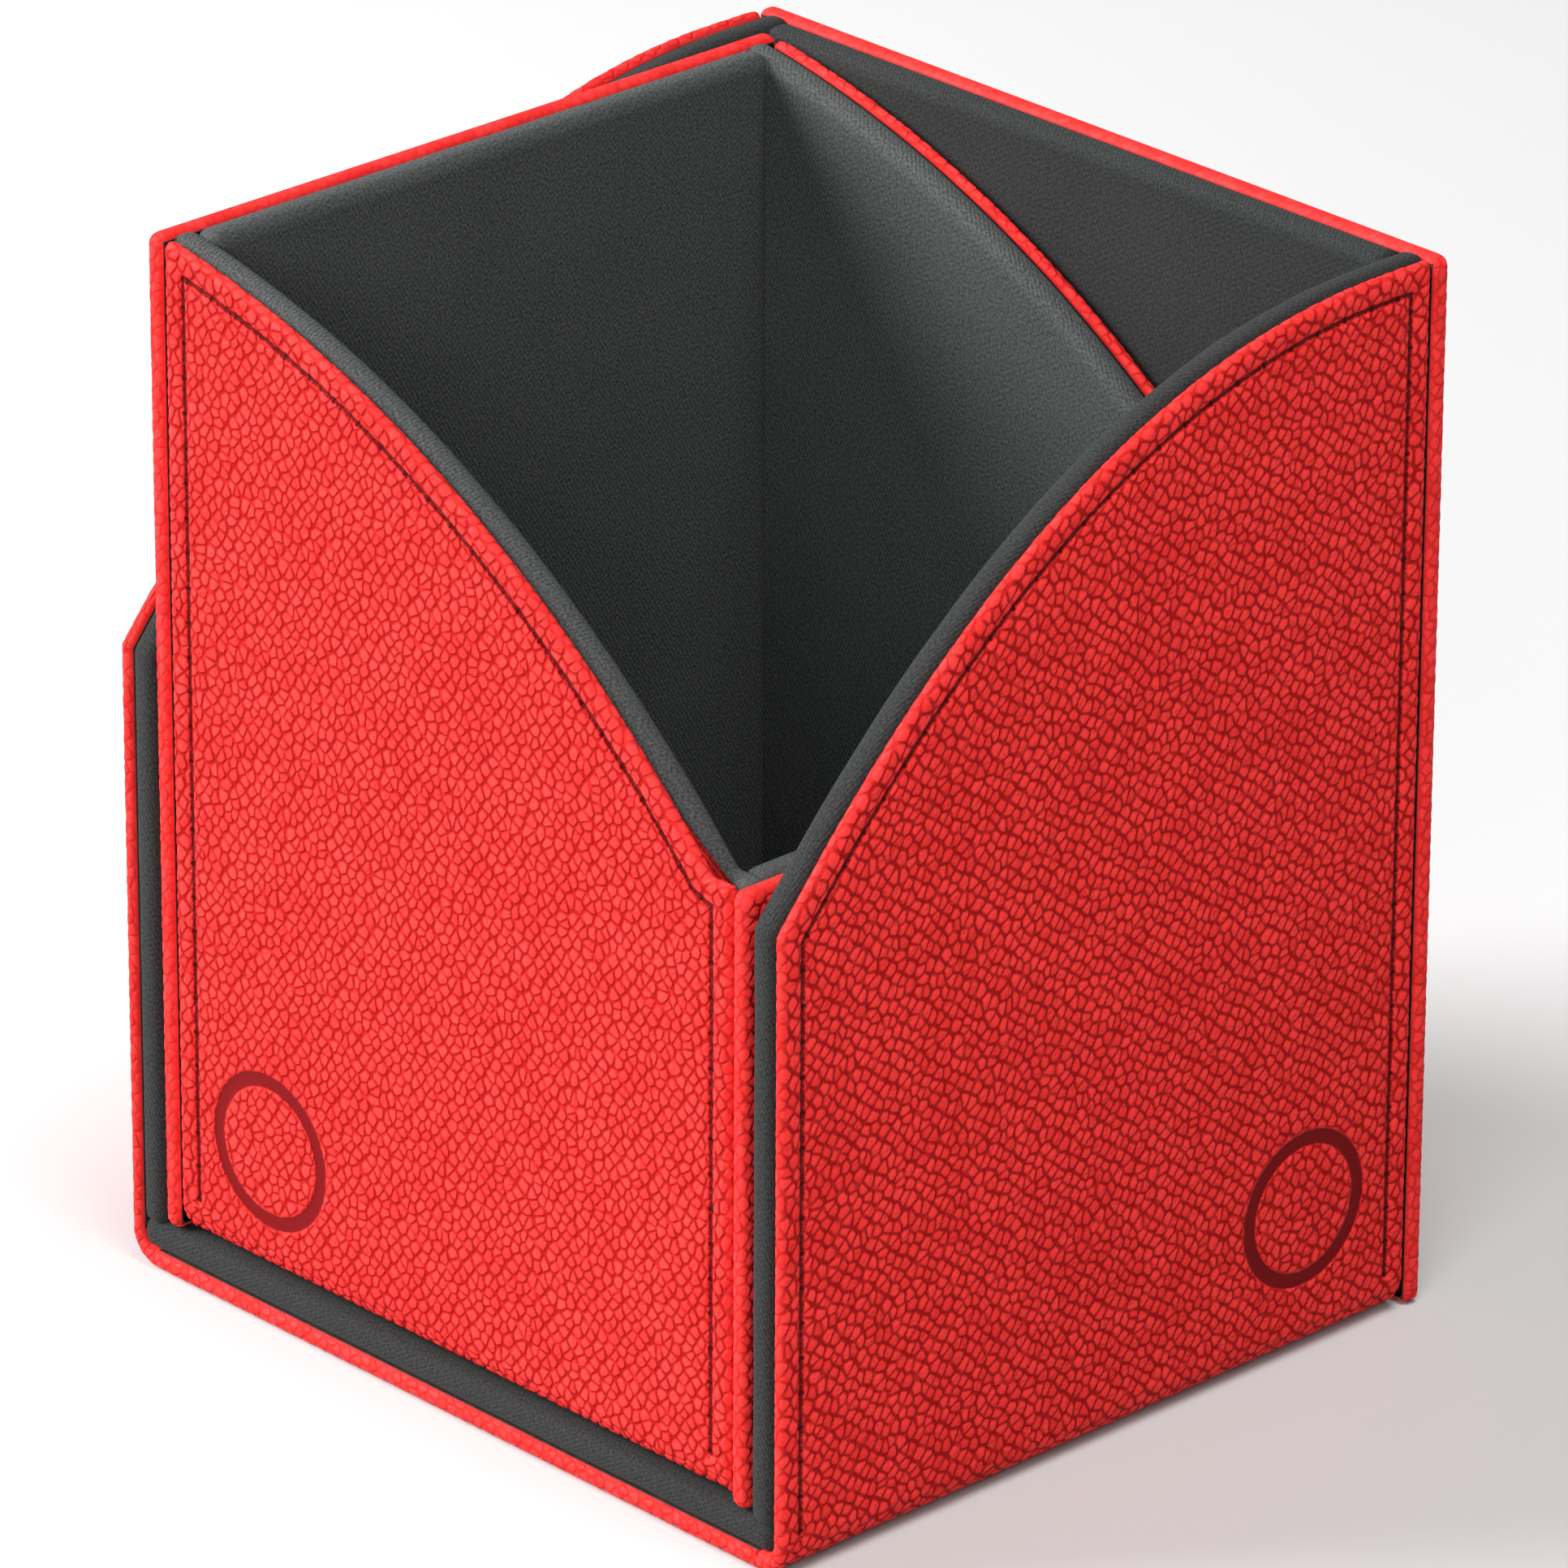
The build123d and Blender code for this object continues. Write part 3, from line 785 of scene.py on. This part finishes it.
def thread_material():
    """Two-ply red polyester thread, coloured near black-red: painted shade of the channel it lies
    in.
    """
    material, recipe, shader = new_material("red_thread_painted_dark", 0.6, 0.15)
    ply = recipe.node("ShaderNodeAttribute", attribute_name="ply").outputs["Vector"]
    x, y, _ = recipe.node("ShaderNodeSeparateXYZ", {0: ply}).outputs
    twist = recipe.maths("MULTIPLY_ADD", y, 1.3, x)
    twist = recipe.maths("SINE", recipe.maths("MULTIPLY", twist, 2 * math.pi / (0.55 * MM)))
    fibre = recipe.noise(recipe.vector("MULTIPLY", ply, (3000, 9000, 9000)), 1.0).outputs[0]
    tone = recipe.maths("MULTIPLY_ADD", twist, 0.3, fibre)
    # Painted shade: the thread's red is darkened to stand for the shade of the seam channel.
    red = recipe.blend(tone, (0.05, 0.002, 0.002, 1), (0.17, 0.005, 0.005, 1))
    recipe.tree.links.new(red, shader["Base Color"])
    shader["Sheen Weight"].default_value = 0.1
    bump = {"Height": tone, "Strength": 0.6, "Distance": 0.06 * MM}
    recipe.tree.links.new(recipe.node("ShaderNodeBump", bump).outputs[0], shader["Normal"])
    return material


def stitch_row():
    """Geometry Nodes: sets one stitch on each pitch of a seam line."""
    sockets = {"Seam": "Geometry", "Stitches": "Int", "Pitch": "Float",
               "Stitch length": "Float", "Thread": "Float", "Outward": "Vector",
               "Finish": "Material"}
    recipe, given = geometry_recipe("stitch_row", "Sewn thread", sockets)
    half_pitch = recipe.maths("MULTIPLY", given["Pitch"], 0.5)
    stop = recipe.maths("MULTIPLY", given["Pitch"], given["Stitches"])
    stop = recipe.maths("SUBTRACT", stop, half_pitch)
    seam = recipe.node("GeometryNodeMeshToCurve", {0: given["Seam"]}).outputs[0]
    trim = {"Curve": seam, 4: half_pitch, 5: stop}
    seam = recipe.node("GeometryNodeTrimCurve", trim, mode="LENGTH").outputs[0]
    places = {"Curve": seam, "Count": given["Stitches"]}
    seam = recipe.node("GeometryNodeResampleCurve", places, mode="COUNT").outputs[0]
    half = recipe.maths("MULTIPLY", given["Stitch length"], 0.5)
    back = recipe.maths("MULTIPLY", half, -1.0)
    dip = recipe.maths("MULTIPLY", given["Thread"], -2.2)
    rise = recipe.maths("MULTIPLY", given["Thread"], 0.25)
    ends = []
    for x, z in ((back, dip), (back, rise), (half, rise), (half, dip)):
        ends.append(recipe.node("ShaderNodeCombineXYZ", {0: x, 2: z}).outputs[0])
    arc = {0: 7, 1: ends[0], 2: ends[1], 3: ends[2], 4: ends[3]}
    arc = recipe.node("GeometryNodeCurvePrimitiveBezierSegment", arc).outputs[0]
    radius = recipe.maths("MULTIPLY", given["Thread"], 0.5)
    ring = {"Resolution": 8, "Radius": radius}
    ring = recipe.node("GeometryNodeCurvePrimitiveCircle", ring).outputs[0]
    body = {"Curve": arc, "Profile Curve": ring, "Fill Caps": True}
    body = recipe.node("GeometryNodeCurveToMesh", body).outputs[0]
    where = recipe.node("GeometryNodeInputPosition").outputs[0]
    kept = {"Geometry": body, "Name": "ply", "Value": where}
    kept = recipe.node("GeometryNodeStoreNamedAttribute", kept, data_type="FLOAT_VECTOR")
    tangent = recipe.node("GeometryNodeInputTangent").outputs[0]
    turn = recipe.node("FunctionNodeAlignRotationToVector", {"Vector": tangent}, axis="X")
    turn = {"Rotation": turn.outputs[0], "Vector": given["Outward"]}
    turn = recipe.node("FunctionNodeAlignRotationToVector", turn, axis="Z", pivot_axis="X")
    row = {"Points": seam, "Instance": kept.outputs[0], "Rotation": turn.outputs[0]}
    row = recipe.node("GeometryNodeInstanceOnPoints", row).outputs[0]
    smooth = recipe.node("GeometryNodeSetShadeSmooth", {0: row}).outputs[0]
    return finish_tree(recipe, smooth, given["Finish"])


red_thread = thread_material()
stitch_tree = stitch_row()


def seam_thread(name, side, body, node):
    """The thread of one curved side, from its seam line."""
    path = seam_path(side)
    pitch, count = seam_pitch(side)
    points = place_on_side(side, path[:, 0], path[:, 1], np.full(len(path), THREAD_SEAT))
    mesh = bpy.data.meshes.new(name)
    links = [(i, i + 1) for i in range(len(points) - 1)]
    mesh.from_pydata((points * MM).tolist(), links, [])
    piece = bpy.data.objects.new(name, mesh)
    bpy.context.scene.collection.objects.link(piece)
    made_by(piece, stitch_tree, {
        "Stitches": count,
        "Pitch": pitch * MM,
        "Stitch length": STITCH_LENGTH * MM,
        "Thread": THREAD * MM,
        "Outward": side["outward"],
        "Finish": red_thread,
    })
    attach(piece, body)
    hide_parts(node)


seam_thread("lid_right_thread", lid_right, "lid", "lid_right_stitches")
seam_thread("lid_left_thread", lid_left, "lid", "lid_left_stitches")
seam_thread("tray_front_thread", tray_front, "tray", "tray_front_stitches")
seam_thread("tray_rear_thread", tray_rear, "tray", "tray_rear_stitches")


# ---------------------------------------------------------------------------
# Inside the walls: greyboards, foam and the magnets behind the pressed
# rings. They keep their own shapes; the boards are painted near black as shade where their edges
# show in joints.
# ---------------------------------------------------------------------------

def greyboard_material():
    """Recycled pulp board with lighter fibres, painted near black: painted shade where its edges
    show in joints.
    """
    material, recipe, shader = new_material("greyboard", 0.95, 0.1)
    place = recipe.node("ShaderNodeTexCoord").outputs["Object"]
    specks = recipe.noise(place, 1800.0, 4.0).outputs[0]
    fibres = recipe.noise(recipe.vector("MULTIPLY", place, (500, 2500, 900)), 1.0).outputs[0]
    tone = recipe.maths("MULTIPLY_ADD", fibres, 0.5, recipe.ramp(specks, 0.3, 0.7, 0.0, 0.5))
    # Painted shade: near black instead of mid-grey, so that the board's edges in open joints read
    # as shade.
    grey = recipe.blend(tone, (0.02, 0.019, 0.018, 1), (0.055, 0.05, 0.048, 1))
    recipe.tree.links.new(grey, shader["Base Color"])
    bump = {"Height": tone, "Strength": 0.3, "Distance": 0.05 * MM}
    recipe.tree.links.new(recipe.node("ShaderNodeBump", bump).outputs[0], shader["Normal"])
    return material


def foam_material():
    """Fine open-cell foam sheet."""
    material, recipe, shader = new_material("foam_sheet", 0.95, 0.1)
    place = recipe.node("ShaderNodeTexCoord").outputs["Object"]
    cells = recipe.node("ShaderNodeTexVoronoi", {"Vector": place, "Scale": 2200.0}).outputs[0]
    wall = recipe.ramp(cells, 0.1, 0.7)
    grey = recipe.blend(wall, (0.05, 0.05, 0.05, 1), (0.14, 0.14, 0.14, 1))
    recipe.tree.links.new(grey, shader["Base Color"])
    bump = {"Height": cells, "Strength": 0.5, "Distance": 0.1 * MM}
    recipe.tree.links.new(recipe.node("ShaderNodeBump", bump).outputs[0], shader["Normal"])
    return material


def magnet_material():
    """Nickel plating with faint turning marks."""
    material, recipe, shader = new_material("magnet_nickel", 0.25, 0.5)
    place = recipe.node("ShaderNodeTexCoord").outputs["Object"]
    marks = recipe.noise(recipe.vector("MULTIPLY", place, (300, 300, 6000)), 1.0).outputs[0]
    silver = recipe.blend(marks, (0.50, 0.49, 0.46, 1), (0.66, 0.65, 0.62, 1))
    recipe.tree.links.new(silver, shader["Base Color"])
    recipe.tree.links.new(recipe.ramp(marks, 0.3, 0.7, 0.2, 0.36), shader["Roughness"])
    shader["Metallic"].default_value = 1.0
    return material


hidden = {"board": greyboard_material(), "padding": foam_material(), "magnets": magnet_material()}
shown = {"wrap": red_leather, "cover": red_leather, "lining": lid_lining_painted_shade, "stitches": red_thread}
for label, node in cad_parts.items():
    finish = {**hidden, **shown}[label.split("_")[-1]]
    for slot in node.material_slots:
        slot.material = finish


# ---------------------------------------------------------------------------
# Studio: a white floor, soft light from the left front and above, and a long
# lens looking down at the corner between the tray's front and the lid's side.
# ---------------------------------------------------------------------------

def soft_light(name, place, size, power, target=(0, 0, 0.05)):
    """A round area light that looks at the box."""
    lamp = bpy.data.lights.new(name, "AREA")
    lamp.shape, lamp.size, lamp.energy = "DISK", size, power
    light = bpy.data.objects.new(name, lamp)
    light.location = place
    aim = Vector(target) - Vector(place)
    light.rotation_euler = aim.to_track_quat("-Z", "Y").to_euler()
    bpy.context.scene.collection.objects.link(light)


soft_light("key_left", (-0.9, -0.82, 0.72), 0.85, 42.0)
soft_light("fill_front", (0.6, -0.95, 0.6), 0.7, 7.2)
soft_light("top", (0.35, 0.0, 1.2), 0.6, 12.0)

bpy.ops.mesh.primitive_plane_add(size=8.0)
floor = bpy.context.object
floor.name = "floor"
floor_paint, floor_recipe, floor_shader = new_material("floor_white", 0.9, 0.1)
speckle = floor_recipe.noise(floor_recipe.node("ShaderNodeTexCoord").outputs["Object"], 3.0)
white = floor_recipe.blend(speckle.outputs[0], (0.55, 0.55, 0.55, 1), (0.57, 0.57, 0.57, 1))
floor_recipe.tree.links.new(white, floor_shader["Base Color"])
floor.data.materials.append(floor_paint)

world = bpy.data.worlds.new("studio")
world.use_nodes = True
world.node_tree.nodes["Background"].inputs["Color"].default_value = (1, 1, 1, 1)
world.node_tree.nodes["Background"].inputs["Strength"].default_value = 0.15
bpy.context.scene.world = world
bpy.context.scene.view_settings.view_transform = "Standard"

AZIMUTH, ELEVATION, ROLL = (math.radians(angle) for angle in (46.453, 24.170, 0.248))
DISTANCE, OFFSET_RIGHT, OFFSET_UP = 1.09788, 0.000745, -0.001444
looking = Vector((-math.sin(AZIMUTH) * math.cos(ELEVATION),
                  math.cos(AZIMUTH) * math.cos(ELEVATION), -math.sin(ELEVATION)))
level = Vector((math.cos(AZIMUTH), math.sin(AZIMUTH), 0))
upright = level.cross(looking)
right = level * math.cos(ROLL) + upright * math.sin(ROLL)
above = upright * math.cos(ROLL) - level * math.sin(ROLL)
lens = bpy.data.cameras.new("camera")
lens.sensor_width = 36.0
lens.lens = 268.0
lens.clip_start, lens.clip_end = 0.05, 20.0
camera = bpy.data.objects.new("camera", lens)
turned = Matrix((right, above, -looking)).transposed().to_4x4()
middle = Vector((0, 0, 0.05375))
eye = middle - looking * DISTANCE + right * OFFSET_RIGHT + above * OFFSET_UP
camera.matrix_world = Matrix.Translation(eye) @ turned
bpy.context.scene.collection.objects.link(camera)
bpy.context.scene.camera = camera
